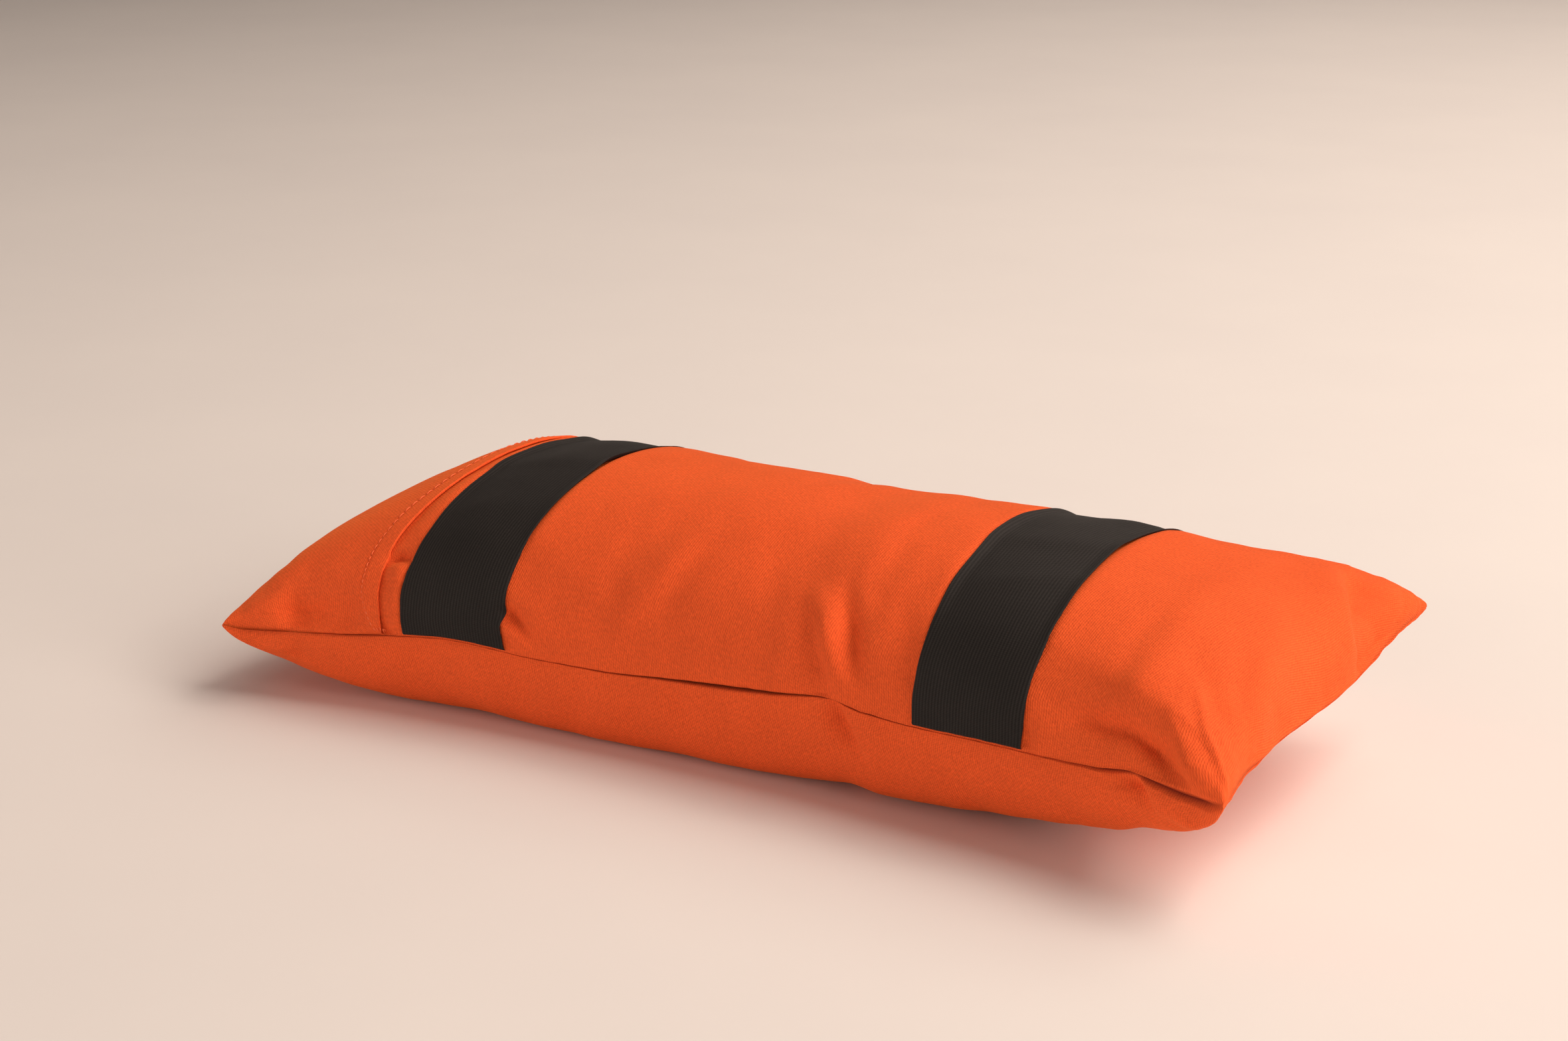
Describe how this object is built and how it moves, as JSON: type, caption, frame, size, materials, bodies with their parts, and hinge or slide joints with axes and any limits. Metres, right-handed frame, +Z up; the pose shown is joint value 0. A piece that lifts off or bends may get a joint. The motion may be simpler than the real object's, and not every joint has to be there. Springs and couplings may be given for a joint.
{
  "type": "meditation stool cushion",
  "caption": "Filled oblong cushion with drawn-out corners, a closure flap over one end and wide elastic straps across its top that hold it on a kneeling stool.",
  "frame": {"origin": "middle of the flat underside, where the cushion rests", "axes": "+Z up out of the crown, +X along the length away from the flap end, -Y towards the front seam"},
  "size_m": [0.47, 0.2216, 0.1065],
  "materials": {
    "cover_twill": "matte orange cotton twill",
    "strap_elastic": "matte black ribbed elastic webbing"
  },
  "bodies": {
    "root": {"cushion_body": "cover_twill", "closure_flap": "cover_twill", "strap_left": "strap_elastic", "strap_right": "strap_elastic"}
  },
  "joints": []
}
